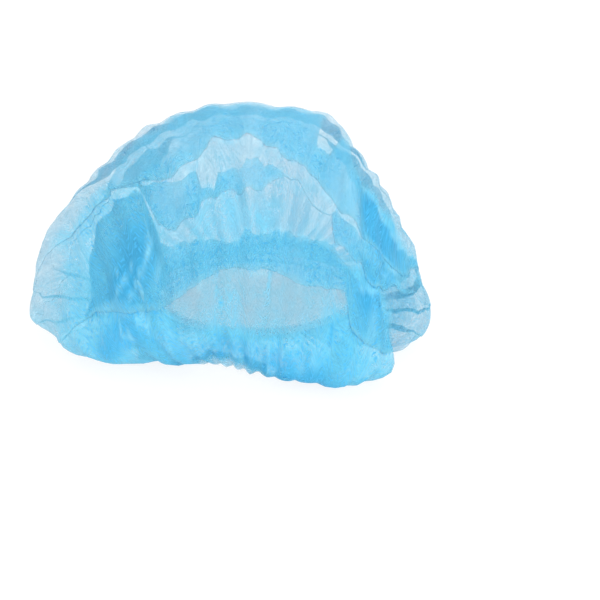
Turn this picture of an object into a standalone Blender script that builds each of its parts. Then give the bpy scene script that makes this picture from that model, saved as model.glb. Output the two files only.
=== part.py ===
"""Disposable bouffant hair cap, puffed open and standing on its elastic opening.

The cap is one strip of thin non-woven cloth, pleated lengthwise and welded at its two ends. Each long
edge is folded over an elastic thread, which gathers it. Opened out, the two gathered edges and the two
welded ends make the ring that a head goes into, and the pleated cloth balloons out over it.

Metres, +Z up. The origin is the centre of the ring, at the level it stands on. +X runs from the left
welded end to the right one, and +Y to the back.
"""

import math
from collections import namedtuple

import bpy
import numpy as np

# The opening that the elastic leaves when it is relaxed, measured inside
RING_WIDTH = 0.146
RING_DEPTH = 0.105

# The ballooned crown: the tables below give its sections as shares of these
CAP_HALF_WIDTH = 0.150
CAP_HALF_DEPTH = 0.120
CAP_HEIGHT = 0.148
CROWN_WALL = 0.0010

# The folded hems, channels that hold the elastic threads
HEM_HEIGHT = 0.0100
HEM_WALL = 0.0010
ELASTIC_DIAMETER = 0.0015
ELASTIC_CLEARANCE = 0.0003

# The welded ends, where every pleat is pressed into one ribbed tab
WELD_WIDTH = 0.038
WELD_HEIGHT = 0.0115
WELD_THICKNESS = 0.0022
WELD_RIB_PITCH = 0.0032
WELD_RIB_RISE = 0.0004

# Gaps that keep the pieces apart
SEAM_GAP = 0.0005
END_GAP = 0.0007

# Gathers run up the cloth from the hems, pleats run from one welded end to the other
GATHER_COUNT = 20
GATHER_RISE = 0.0017
HEM_WAVE = 0.0007
PLEAT_RISE = 0.0018

BEARINGS = ("right", "right_back", "back", "left_back", "left", "left_front", "front", "right_front")
BEARING_STEP = 45.0

# Sections of the crown from the hem up. along: share of the way up the cloth from the hem to the top.
# height: share of CAP_HEIGHT. The other columns: reach from the ring's centre towards that bearing, as
# a share of the cap's half size that way.
Section = namedtuple("Section", ("along", "height") + BEARINGS)
SECTIONS = (
    Section(0.170, 0.030, 0.64, 0.63, 0.65, 0.66, 0.79, 0.85, 0.86, 0.88),
    Section(0.250, 0.095, 0.77, 0.75, 0.80, 0.82, 1.03, 1.03, 0.93, 1.02),
    Section(0.340, 0.230, 0.79, 0.81, 0.88, 0.94, 1.07, 1.05, 0.93, 1.00),
    Section(0.460, 0.420, 0.70, 0.79, 0.87, 0.91, 0.97, 0.93, 0.90, 0.86),
    Section(0.585, 0.610, 0.58, 0.69, 0.79, 0.85, 0.82, 0.77, 0.78, 0.69),
    Section(0.700, 0.780, 0.47, 0.57, 0.67, 0.71, 0.68, 0.60, 0.61, 0.52),
    Section(0.800, 0.905, 0.38, 0.44, 0.49, 0.52, 0.47, 0.41, 0.39, 0.37),
    Section(0.885, 0.973, 0.25, 0.28, 0.31, 0.31, 0.28, 0.24, 0.22, 0.22),
)

# Lobes that the cloth pushes out, and dents where it falls in. bearing and spread: degrees. height and
# tall: shares of CAP_HEIGHT. push: share of CAP_HALF_WIDTH, negative for a dent.
Lobe = namedtuple("Lobe", "bearing spread height tall push")
LOBES = (
    Lobe(284.0, 5.0, 0.04, 0.10, 0.030),
    Lobe(298.0, 6.0, 0.06, 0.14, 0.090),
    Lobe(309.5, 4.5, 0.06, 0.15, 0.080),
    Lobe(320.0, 3.5, 0.05, 0.10, -0.045),
    Lobe(336.0, 8.0, 0.06, 0.07, 0.055),
    Lobe(352.0, 7.0, 0.18, 0.07, -0.020),
    Lobe(168.0, 12.0, 0.37, 0.06, 0.020),
    Lobe(150.0, 12.0, 0.60, 0.07, 0.020),
    Lobe(32.0, 14.0, 0.93, 0.05, 0.055),
    Lobe(202.0, 8.0, 0.09, 0.12, 0.060),
    Lobe(216.0, 7.0, 0.05, 0.10, 0.090),
    Lobe(240.0, 9.0, 0.05, 0.12, -0.055),
    Lobe(256.0, 6.0, 0.06, 0.13, -0.080),
)

# Crests and troughs of the pleats on one half of the crown, as shares of the way from hem to top
PLEAT_LINES = (0.0, 0.06, 0.12, 0.175, 0.225, 0.28, 0.34, 0.41, 0.49, 0.58, 0.68, 0.78, 0.89, 1.0)

CLOTH_BLUE = (0.075, 0.50, 0.83, 1.0)
WELD_BLUE = (0.045, 0.33, 0.70, 1.0)
ELASTIC_WHITE = (0.85, 0.88, 0.90, 1.0)

SLOT_WIDTH = ELASTIC_DIAMETER + 2 * ELASTIC_CLEARANCE
HEM_THICKNESS = 2 * HEM_WALL + SLOT_WIDTH
CROWN_SEAT_OFFSET = HEM_THICKNESS + CROWN_WALL / 2 + SEAM_GAP
CROWN_SEAT_HEIGHT = 0.65 * HEM_HEIGHT
WELD_HALF_ANGLE = math.asin(WELD_WIDTH / RING_WIDTH)
CRESTS_AND_TROUGHS = 2 * GATHER_COUNT
LOBE_FADE = 0.15


def clear_scene():
    """Remove whatever the scene holds."""
    for obj in list(bpy.data.objects):
        bpy.data.objects.remove(obj)


def new_collection(name):
    """Make a collection and link it to the scene."""
    collection = bpy.data.collections.new(name)
    bpy.context.scene.collection.children.link(collection)
    return collection


def new_material(name, colour, roughness):
    """Make a plain Principled material, with no metal in it."""
    material = bpy.data.materials.new(name)
    material.use_nodes = True
    shader = material.node_tree.nodes["Principled BSDF"]
    shader.inputs["Base Color"].default_value = colour
    shader.inputs["Roughness"].default_value = roughness
    shader.inputs["Metallic"].default_value = 0.0
    return material


def smooth_curve(x, knots, values):
    """A smooth curve through values at knots, read at x. values has a row for each knot, with either one
    number for all of x or one for each."""
    slopes = np.gradient(values, knots, axis=0)
    before = np.clip(np.searchsorted(knots, x, side="right") - 1, 0, len(knots) - 2)
    width = knots[before + 1] - knots[before]
    t = (x - knots[before]) / width
    low, high = before, before + 1
    if values.ndim == 2:
        low, high = (before, np.arange(len(x))), (before + 1, np.arange(len(x)))
    near = (2 * t**3 - 3 * t**2 + 1) * values[low] + (t**3 - 2 * t**2 + t) * width * slopes[low]
    far = (3 * t**2 - 2 * t**3) * values[high] + (t**3 - t**2) * width * slopes[high]
    return near + far


def ring_radius(bearing):
    """Distance from the ring's centre to its inside edge, at a bearing in radians."""
    across = np.cos(bearing) / (RING_WIDTH / 2)
    deep = np.sin(bearing) / (RING_DEPTH / 2)
    return 1.0 / np.sqrt(across**2 + deep**2)


def section_reach(section, bearing):
    """Reach of one section, in metres, at bearings in radians."""
    turns = np.arange(-2, len(BEARINGS) + 3)
    angles = np.radians(turns * BEARING_STEP)
    half_size = np.hypot(CAP_HALF_WIDTH * np.cos(angles), CAP_HALF_DEPTH * np.sin(angles))
    shares = np.array([getattr(section, name) for name in BEARINGS])[turns % len(BEARINGS)]
    return smooth_curve(np.degrees(bearing) % 360.0, turns * BEARING_STEP, shares * half_size)


def lobe_push(bearing, height, along):
    """How far the lobes and dents move the cloth outwards, in metres."""
    push = np.zeros_like(bearing)
    for lobe in LOBES:
        turn = (np.degrees(bearing) - lobe.bearing + 180.0) % 360.0 - 180.0
        rise = height / CAP_HEIGHT - lobe.height
        push += lobe.push * np.exp(-0.5 * (turn / lobe.spread) ** 2 - 0.5 * (rise / lobe.tall) ** 2)
    fade = np.clip(along / LOBE_FADE, 0, 1) * np.clip((1 - along) / LOBE_FADE, 0, 1)
    return push * fade * CAP_HALF_WIDTH


def crown_points(across, deep):
    """The smooth crown, from places on a flat disc whose rim is the hem and whose centre is the top."""
    along = 1.0 - np.clip(np.hypot(across, deep), 0, 1)
    bearing = np.arctan2(deep, across)
    knots = np.array([0.0, *(section.along for section in SECTIONS), 1.0])
    levels = [section.height * CAP_HEIGHT for section in SECTIONS]
    heights = np.array([CROWN_SEAT_HEIGHT, *levels, CAP_HEIGHT])
    seat = ring_radius(bearing) + CROWN_SEAT_OFFSET
    reaches = np.array([seat, *(section_reach(section, bearing) for section in SECTIONS), 0 * seat])
    height = smooth_curve(along, knots, heights)
    reach = smooth_curve(along, knots, reaches) + lobe_push(bearing, height, along)
    return np.stack([reach * np.cos(bearing), reach * np.sin(bearing), height], axis=1)


def crown_normals(across, deep):
    """Unit normals of the smooth crown, facing out."""
    step = 1e-3
    pull = np.minimum(1.0, (1 - 1.5 * step) / np.maximum(np.hypot(across, deep), step))
    across, deep = across * pull, deep * pull
    run = crown_points(across + step, deep) - crown_points(across - step, deep)
    rise = crown_points(across, deep + step) - crown_points(across, deep - step)
    normal = np.cross(run, rise)
    return normal / np.linalg.norm(normal, axis=1, keepdims=True)


def strip_to_disc(u, v):
    """Place on the flat disc of a point of the strip of cloth: u runs from the left weld (0) to the right
    one (1), v from the front hem (-1) to the back hem (1)."""
    angle = WELD_HALF_ANGLE * v
    end = np.cos(angle)
    middle = np.abs(v) < 1e-6
    end_spread = np.where(middle, WELD_HALF_ANGLE, np.sin(angle) / np.where(middle, 1.0, v))
    across = -end * np.cos(math.pi * u)
    deep = v * np.sqrt(np.clip(1 - (1 - end_spread**2) * (across / end) ** 2, 0, 1))
    return across, deep


def gather_wave(u):
    """The wave that the gathers make along the strip, dying out at the welded ends."""
    return np.cos(2 * math.pi * GATHER_COUNT * u) * np.sqrt(np.clip(np.sin(math.pi * u), 0, 1))


def fold_rise(u, v, along):
    """How far the gathers and pleats rise above the smooth crown, in metres."""
    gathers = GATHER_RISE * gather_wave(u) * (0.3 + 0.7 * np.exp(-((along / 0.2) ** 2)))
    steps = np.interp(1 - np.abs(v), PLEAT_LINES, np.arange(len(PLEAT_LINES)))
    crest_or_trough = 1 - 2 * np.abs(steps % 2 - 1)
    pleats = PLEAT_RISE * crest_or_trough * np.clip((along - 0.16) / 0.2, 0, 1)
    return gathers + pleats


def grid_faces(columns, rows, cut_corners=False):
    """Quads of a grid of points. With cut_corners, the cell at each corner of the grid is cut through
    that corner, for a sheet whose edges run straight on there."""
    faces = []
    for i in range(columns - 1):
        for j in range(rows - 1):
            a, b = i * rows + j, (i + 1) * rows + j
            c, d = b + 1, a + 1
            first = (i, j) in ((0, 0), (columns - 2, rows - 2))
            second = (i, j) in ((0, rows - 2), (columns - 2, 0))
            if cut_corners and first:
                faces += [(a, b, c), (a, c, d)]
            elif cut_corners and second:
                faces += [(a, b, d), (b, c, d)]
            else:
                faces.append((a, b, c, d))
    return faces


def new_object(name, data, material, collection):
    """Make an object of a mesh or a curve, with its material."""
    data.materials.append(material)
    obj = bpy.data.objects.new(name, data)
    collection.objects.link(obj)
    return obj


def lofted_sheet(name, points, wall, offset, material, collection, cut_corners=False):
    """An open sheet lofted through columns of points, with a wall that Solidify gives it. Its normals
    face out, and offset places the wall: -1 inside the points, 0 on both sides of them."""
    columns, rows = points.shape[:2]
    mesh = bpy.data.meshes.new(name)
    mesh.from_pydata(points.reshape(-1, 3).tolist(), [], grid_faces(columns, rows, cut_corners))
    sheet = new_object(name, mesh, material, collection)
    thickness = sheet.modifiers.new("Wall", "SOLIDIFY")
    thickness.thickness = wall
    thickness.offset = offset
    thickness.use_even_offset = offset != 0.0
    return sheet


def ring_points(bearings, offset, height):
    """Points round the ring, offset outwards from its inside edge."""
    radius = ring_radius(bearings) + offset
    level = np.full_like(radius, height)
    return np.stack([radius * np.cos(bearings), radius * np.sin(bearings), level], axis=1)


def hem_stations(v):
    """Bearings of a hem's crests and troughs, turning leftwards seen from above, and the wave there."""
    u = np.linspace(0, 1, CRESTS_AND_TROUGHS + 1)
    across, deep = strip_to_disc(u, np.full_like(u, v))
    bearings = np.arctan2(deep, across)
    order = np.argsort(bearings)
    return bearings[order], HEM_WAVE * gather_wave(u)[order]


def make_crown(material, collection):
    """The ballooned cloth: a loft over the pleat lines, from the front hem over the top to the back."""
    half = np.array(PLEAT_LINES)
    lines = np.concatenate([half - 1, 1 - half[::-1][1:]])
    columns = np.linspace(0, 1, 2 * CRESTS_AND_TROUGHS + 1)
    u, v = (grid.ravel() for grid in np.meshgrid(columns, lines, indexing="ij"))
    across, deep = strip_to_disc(u, v)
    along = 1.0 - np.clip(np.hypot(across, deep), 0, 1)
    rise = fold_rise(u, v, along)[:, None]
    points = crown_points(across, deep) + crown_normals(across, deep) * rise
    wave = HEM_WAVE * gather_wave(u) * np.clip(1 - along / 0.1, 0, 1)
    bearing = np.arctan2(deep, across)
    points[:, 0] += wave * np.cos(bearing)
    points[:, 1] += wave * np.sin(bearing)
    grid = points.reshape(len(columns), len(lines), 3)
    lofted_sheet("crown", grid, CROWN_WALL, 0.0, material, collection, cut_corners=True)


def make_hem(name, v, material, collection):
    """One folded edge: a channel round the elastic thread, open at the top."""
    bearings, wave = hem_stations(v)
    profile = ((0.0, HEM_HEIGHT), (0.0, 0.0), (HEM_THICKNESS, 0.0), (HEM_THICKNESS, HEM_HEIGHT))
    points = np.stack([ring_points(bearings, offset + wave, z) for offset, z in profile], axis=1)
    lofted_sheet(name, points, HEM_WALL, -1.0, material, collection)


def make_elastic(name, v, material, collection):
    """The elastic thread at the bottom of a hem's channel."""
    bearings, wave = hem_stations(v)
    height = HEM_WALL + ELASTIC_CLEARANCE + ELASTIC_DIAMETER / 2
    points = ring_points(bearings, HEM_THICKNESS / 2 + wave, height)
    curve = bpy.data.curves.new(name, "CURVE")
    curve.dimensions = "3D"
    curve.bevel_depth = ELASTIC_DIAMETER / 2
    curve.bevel_resolution = 1
    curve.use_fill_caps = True
    spline = curve.splines.new("POLY")
    spline.points.add(len(points) - 1)
    spline.points.foreach_set("co", np.column_stack([points, np.ones(len(points))]).ravel())
    new_object(name, curve, material, collection)


def make_weld(name, centre_bearing, material, collection):
    """A welded end: an upright ribbed tab that closes the ring between the two hems."""
    half_angle = WELD_HALF_ANGLE - 2 * END_GAP / RING_WIDTH
    ribs = max(2, round(WELD_WIDTH / WELD_RIB_PITCH))
    bearings = np.linspace(centre_bearing - half_angle, centre_bearing + half_angle, 2 * ribs + 1)
    rib = np.where(np.arange(len(bearings)) % 2, -WELD_RIB_RISE / 2, WELD_RIB_RISE / 2)
    offset = HEM_THICKNESS - WELD_THICKNESS / 2 + rib
    points = np.stack([ring_points(bearings, offset, z) for z in (0.0, WELD_HEIGHT)], axis=1)
    lofted_sheet(name, points, WELD_THICKNESS, 0.0, material, collection)


def main():
    """Build every piece of the cap."""
    clear_scene()
    cap = new_collection("Bouffant cap")
    cloth = new_material("Cloth blue", CLOTH_BLUE, 0.75)
    pressed = new_material("Weld blue", WELD_BLUE, 0.4)
    thread = new_material("Elastic white", ELASTIC_WHITE, 0.6)
    make_crown(cloth, cap)
    for side, v in (("front", -1.0), ("back", 1.0)):
        make_hem(f"{side}_hem", v, cloth, cap)
        make_elastic(f"{side}_elastic", v, thread, cap)
    make_weld("left_weld", math.pi, pressed, cap)
    make_weld("right_weld", 0.0, pressed, cap)


main()
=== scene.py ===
"""Looks of the disposable bouffant cap: pleated non-woven crown, gathered hems, elastic threads, welds.

The cap is one strip of thin spunbond cloth. Its pleats run from the welded end on the left to the one on
the right, and its two long edges are folded over elastic threads, which gather it. The cloth is built here
as the real one lies: one continuous sheet that goes up and over the head opening, doubling back on itself
at each pleat, rippled by the gathers and crumpled.

Metres, +Z up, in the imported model's frame. A place on the cloth is given by u, from the left weld (0) to
the right one (1), and by its share of the way over the crown, from the front hem (0) to the back one (1).
"""

from __future__ import annotations

import logging
import math
from dataclasses import dataclass
from enum import Enum
from typing import NamedTuple, TypeVar

import bmesh
import bpy
import numpy as np
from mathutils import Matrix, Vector

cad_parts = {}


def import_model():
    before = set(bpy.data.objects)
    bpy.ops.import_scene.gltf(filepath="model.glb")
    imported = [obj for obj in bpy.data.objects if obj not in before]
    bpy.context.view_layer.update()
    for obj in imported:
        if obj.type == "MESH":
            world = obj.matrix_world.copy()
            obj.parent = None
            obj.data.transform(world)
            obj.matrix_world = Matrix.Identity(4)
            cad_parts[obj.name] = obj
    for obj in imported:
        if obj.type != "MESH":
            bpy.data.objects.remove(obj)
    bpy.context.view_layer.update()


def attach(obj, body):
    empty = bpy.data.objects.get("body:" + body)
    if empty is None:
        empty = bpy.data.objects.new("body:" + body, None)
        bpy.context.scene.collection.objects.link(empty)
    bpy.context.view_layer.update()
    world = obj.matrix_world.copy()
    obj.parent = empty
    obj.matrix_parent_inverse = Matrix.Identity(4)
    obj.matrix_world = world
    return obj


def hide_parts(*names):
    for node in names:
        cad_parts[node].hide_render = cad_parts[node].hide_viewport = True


log = logging.getLogger("bouffant_cap")

Array = np.ndarray
Folds = list[tuple[np.ndarray, np.ndarray]]
Piece = bpy.types.Object
Socket = bpy.types.NodeSocket
Colour = tuple[float, float, float, float]
WHITE: Colour = (1.0, 1.0, 1.0, 1.0)
Row = TypeVar("Row")


def rows_of(kind: type[Row], *rows: tuple) -> tuple[Row, ...]:
    """Make a table: each row of values becomes one of the given kind, which names its columns."""
    return tuple(kind(*values) for values in rows)


class Side(Enum):
    """The two long edges of the strip, with the sign that they have across it."""

    FRONT = -1.0
    BACK = 1.0


class End(Enum):
    """The two welded ends of the strip, with the sign of the side that they lie on."""

    LEFT = -1.0
    RIGHT = 1.0


# ---------------------------------------------------------------- the form that the cloth follows


class Section(NamedTuple):
    """One level of the crown: how far round the cloth it is, its height, and its reach at each bearing.

    along is the share of the way from the hem to the top, height a share of the cap's height, and the
    others are shares of the cap's half size towards that bearing.
    """

    along: float
    height: float
    right: float
    right_back: float
    back: float
    left_back: float
    left: float
    left_front: float
    front: float
    right_front: float


class Lobe(NamedTuple):
    """A place where the cloth is pushed out or falls in: bearing and spread in degrees, height and tall
    as shares of the cap's height, push as a share of its half width."""

    bearing: float
    spread: float
    height: float
    tall: float
    push: float


SECTIONS = rows_of(
    Section,
    (0.170, 0.030, 0.64, 0.63, 0.65, 0.66, 0.79, 0.85, 0.86, 0.88),
    (0.250, 0.095, 0.77, 0.75, 0.80, 0.82, 1.03, 1.03, 0.93, 1.02),
    (0.340, 0.230, 0.79, 0.81, 0.88, 0.94, 1.07, 1.05, 0.93, 1.00),
    (0.460, 0.420, 0.70, 0.79, 0.87, 0.91, 0.97, 0.93, 0.90, 0.86),
    (0.585, 0.610, 0.58, 0.69, 0.79, 0.85, 0.82, 0.77, 0.78, 0.69),
    (0.700, 0.780, 0.47, 0.57, 0.67, 0.71, 0.68, 0.60, 0.61, 0.52),
    (0.800, 0.905, 0.38, 0.44, 0.49, 0.52, 0.47, 0.41, 0.39, 0.37),
    (0.885, 0.973, 0.25, 0.28, 0.31, 0.31, 0.28, 0.24, 0.22, 0.22),
)
LOBES = rows_of(
    Lobe,
    (285.0, 4.0, 0.04, 0.10, 0.044),
    (293.0, 3.0, 0.04, 0.10, 0.014),
    (298.0, 5.5, 0.06, 0.14, 0.102),
    (309.5, 3.8, 0.06, 0.15, 0.076),
    (316.5, 2.8, 0.06, 0.12, -0.098),
    (324.5, 3.0, 0.07, 0.12, -0.026),
    (338.5, 5.5, 0.13, 0.08, 0.018),
    (350.0, 9.0, 0.16, 0.09, -0.026),
    (352.0, 12.0, 0.36, 0.07, 0.016),
    (6.0, 18.0, 0.67, 0.13, 0.036),
    (172.0, 16.0, 0.45, 0.08, 0.020),
    (188.0, 10.0, 0.40, 0.07, 0.026),
    (199.5, 5.0, 0.10, 0.10, 0.070),
    (172.0, 22.0, 0.80, 0.13, -0.026),
    (168.0, 12.0, 0.37, 0.06, 0.020),
    (150.0, 12.0, 0.60, 0.07, 0.020),
    (32.0, 11.0, 0.91, 0.05, 0.046),
    (60.0, 13.0, 0.95, 0.05, -0.030),
    (128.0, 12.0, 0.95, 0.05, -0.016),
    (219.0, 6.0, 0.05, 0.10, 0.066),
    (211.5, 3.8, 0.06, 0.10, 0.036),
    (229.0, 3.0, 0.05, 0.10, 0.050),
    (233.0, 5.0, 0.05, 0.10, -0.044),
    (242.0, 7.0, 0.05, 0.12, -0.038),
    (257.0, 7.0, 0.06, 0.13, -0.070),
    (279.0, 6.0, 0.05, 0.12, 0.032),
    (193.0, 14.0, 0.62, 0.12, -0.020),
)


def smooth_curve(x: Array, knots: Array, values: Array) -> Array:
    """Read a smooth curve through values at knots.

    Args:
        x: Where it is read.
        knots: Rising places of the values.
        values: A row for each knot, with one number for all of x or one for each.

    Returns:
        The curve at x.
    """
    slopes = np.gradient(values, knots, axis=0)
    before = np.clip(np.searchsorted(knots, x, side="right") - 1, 0, len(knots) - 2)
    width = knots[before + 1] - knots[before]
    t = (x - knots[before]) / width
    low, high = before, before + 1
    if values.ndim == 2:
        low, high = (before, np.arange(len(x))), (before + 1, np.arange(len(x)))
    near = (2 * t**3 - 3 * t**2 + 1) * values[low] + (t**3 - 2 * t**2 + t) * width * slopes[low]
    far = (3 * t**2 - 2 * t**3) * values[high] + (t**3 - t**2) * width * slopes[high]
    return near + far


@dataclass(frozen=True)
class CrownForm:
    """The smooth form under the folds, with the sizes that the cap's solids have."""

    ring_width: float = 0.146
    ring_depth: float = 0.105
    half_width: float = 0.150
    half_depth: float = 0.120
    height: float = 0.148
    seat_offset: float = 0.0051
    seat_height: float = 0.0065
    weld_width: float = 0.038
    bearing_step: float = 45.0
    lobe_fade: float = 0.15

    @property
    def weld_half_angle(self) -> float:
        """Half the bearing that a welded end takes up, in radians."""
        return math.asin(self.weld_width / self.ring_width)

    def ring_radius(self, bearing: Array) -> Array:
        """Distance from the opening's centre to its inside edge.

        Args:
            bearing: Bearings in radians.

        Returns:
            The radius at each bearing.
        """
        across = np.cos(bearing) / (self.ring_width / 2)
        deep = np.sin(bearing) / (self.ring_depth / 2)
        return 1.0 / np.sqrt(across**2 + deep**2)

    def reach(self, section: Section, bearing: Array) -> Array:
        """Reach of one section.

        Args:
            section: The section that is read.
            bearing: Bearings in radians.

        Returns:
            The reach at each bearing.
        """
        shares = np.array(section[2:])
        turns = np.arange(-2, len(shares) + 3)
        angles = np.radians(turns * self.bearing_step)
        half_size = np.hypot(self.half_width * np.cos(angles), self.half_depth * np.sin(angles))
        values = shares[turns % len(shares)] * half_size
        return smooth_curve(np.degrees(bearing) % 360.0, turns * self.bearing_step, values)

    def push(self, bearing: Array, height: Array, along: Array) -> Array:
        """How far the lobes and dents move the cloth outwards.

        Args:
            bearing: Bearings in radians.
            height: Heights there.
            along: Shares of the way from hem to top there.

        Returns:
            The move at each place.
        """
        total = np.zeros_like(bearing)
        for lobe in LOBES:
            turn = (np.degrees(bearing) - lobe.bearing + 180.0) % 360.0 - 180.0
            rise = height / self.height - lobe.height
            total += lobe.push * np.exp(-0.5 * (turn / lobe.spread) ** 2 - 0.5 * (rise / lobe.tall) ** 2)
        fade = np.clip(along / self.lobe_fade, 0, 1) * np.clip((1 - along) / self.lobe_fade, 0, 1)
        return total * fade * self.half_width

    def points(self, across: Array, deep: Array) -> Array:
        """Places on the form.

        Args:
            across: Places on a flat disc whose rim is the hem and whose centre is the top.
            deep: The same, towards the back.

        Returns:
            A row of x, y and z for each place.
        """
        along = 1.0 - np.clip(np.hypot(across, deep), 0, 1)
        bearing = np.arctan2(deep, across)
        knots = np.array([0.0, *(section.along for section in SECTIONS), 1.0])
        levels = [section.height * self.height for section in SECTIONS]
        heights = np.array([self.seat_height, *levels, self.height])
        seat = self.ring_radius(bearing) + self.seat_offset
        reaches = np.array([seat, *(self.reach(section, bearing) for section in SECTIONS), 0 * seat])
        height = smooth_curve(along, knots, heights)
        reach = smooth_curve(along, knots, reaches) + self.push(bearing, height, along)
        return np.stack([reach * np.cos(bearing), reach * np.sin(bearing), height], axis=1)

    def normals(self, across: Array, deep: Array) -> Array:
        """Outward unit normals of the form.

        Args:
            across: Places on the flat disc.
            deep: The same, towards the back.

        Returns:
            A unit row for each place.
        """
        step = 1e-3
        pull = np.minimum(1.0, (1 - 1.5 * step) / np.maximum(np.hypot(across, deep), step))
        across, deep = across * pull, deep * pull
        run = self.points(across + step, deep) - self.points(across - step, deep)
        rise = self.points(across, deep + step) - self.points(across, deep - step)
        normal = np.cross(run, rise)
        return normal / np.linalg.norm(normal, axis=1, keepdims=True)

    def disc(self, u: Array, v: Array) -> tuple[Array, Array]:
        """Place on the flat disc of a point of the strip.

        Args:
            u: From the left weld (0) to the right one (1).
            v: From the front hem (-1) to the back hem (1).

        Returns:
            How far across and how deep each is.
        """
        angle = self.weld_half_angle * v
        end = np.cos(angle)
        middle = np.abs(v) < 1e-6
        spread = np.where(middle, self.weld_half_angle, np.sin(angle) / np.where(middle, 1.0, v))
        across = -end * np.cos(math.pi * u)
        deep = v * np.sqrt(np.clip(1 - (1 - spread**2) * (across / end) ** 2, 0, 1))
        return across, deep


# ---------------------------------------------------------------- irregular cloth


SMALLEST_LENGTH = 1e-5
NOISE_CELLS = 64
FACET_MIDDLE = 0.45


def value_noise(x: Array, y: Array, seed: int) -> Array:
    """Soft noise in a plane.

    Args:
        x: Places, one apart from bump to bump.
        y: The same, the other way.
        seed: Picks the bumps.

    Returns:
        Values from -1 to 1.
    """
    table = np.random.default_rng(seed).uniform(-1.0, 1.0, (NOISE_CELLS, NOISE_CELLS))
    column, row = np.floor(x).astype(int), np.floor(y).astype(int)
    tx, ty = x - column, y - row
    tx, ty = tx * tx * (3 - 2 * tx), ty * ty * (3 - 2 * ty)
    left, right = column % NOISE_CELLS, (column + 1) % NOISE_CELLS
    low, high = row % NOISE_CELLS, (row + 1) % NOISE_CELLS
    near = table[left, low] * (1 - tx) + table[right, low] * tx
    far = table[left, high] * (1 - tx) + table[right, high] * tx
    return near * (1 - ty) + far * ty


def facet_noise(x: Array, y: Array, seed: int) -> Array:
    """Crumpled facets in a plane: low in the middle of each and highest along the straight creases.

    Args:
        x: Places, one apart from facet to facet.
        y: The same, the other way.
        seed: Picks the facets.

    Returns:
        Values from about -0.5 to 0.6.
    """
    jitter = np.random.default_rng(seed).uniform(0.1, 0.9, (NOISE_CELLS, NOISE_CELLS, 2))
    column, row = np.floor(x).astype(int), np.floor(y).astype(int)
    nearest = np.full(x.shape, np.inf)
    for i in (-1, 0, 1):
        for j in (-1, 0, 1):
            spot = jitter[(column + i) % NOISE_CELLS, (row + j) % NOISE_CELLS]
            away = np.hypot(x - column - i - spot[..., 0], y - row - j - spot[..., 1])
            nearest = np.minimum(nearest, away)
    return nearest - FACET_MIDDLE


def soft_step(t: Array) -> Array:
    """An S-shaped step from 0 to 1, for t from 0 to 1."""
    t = np.clip(t, 0.0, 1.0)
    return t * t * (3 - 2 * t)


def run_along(steps: Array) -> Array:
    """Add up the steps along each row, starting from 0."""
    return np.pad(np.cumsum(steps, axis=-1), [(0, 0)] * (steps.ndim - 1) + [(1, 0)])


class Bumps(NamedTuple):
    """Uneven cloth: how many bumps it has from weld to weld, and how long each is over the crown."""

    count: float
    length: float

    def at(self, u: Array, arc: Array, seed: int) -> Array:
        """Read the bumps, from -1 to 1, at places on the cloth."""
        return value_noise(u * self.count, arc / self.length, seed)


# ---------------------------------------------------------------- the pleats, gathers and creases


class FoldLine(NamedTuple):
    """Where a pleat's two folds are at one place along it, as shares of the way over the crown."""

    u: float
    low: float
    high: float


class Pleat(NamedTuple):
    """One pleat: which way it laps, how ragged its lower and upper folds are, and where they run. lap is
    1 where the part nearer the front hem lies under, -1 where it lies over."""

    name: str
    lap: float
    ragged: tuple[float, float]
    folds: tuple[FoldLine, ...]


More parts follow.
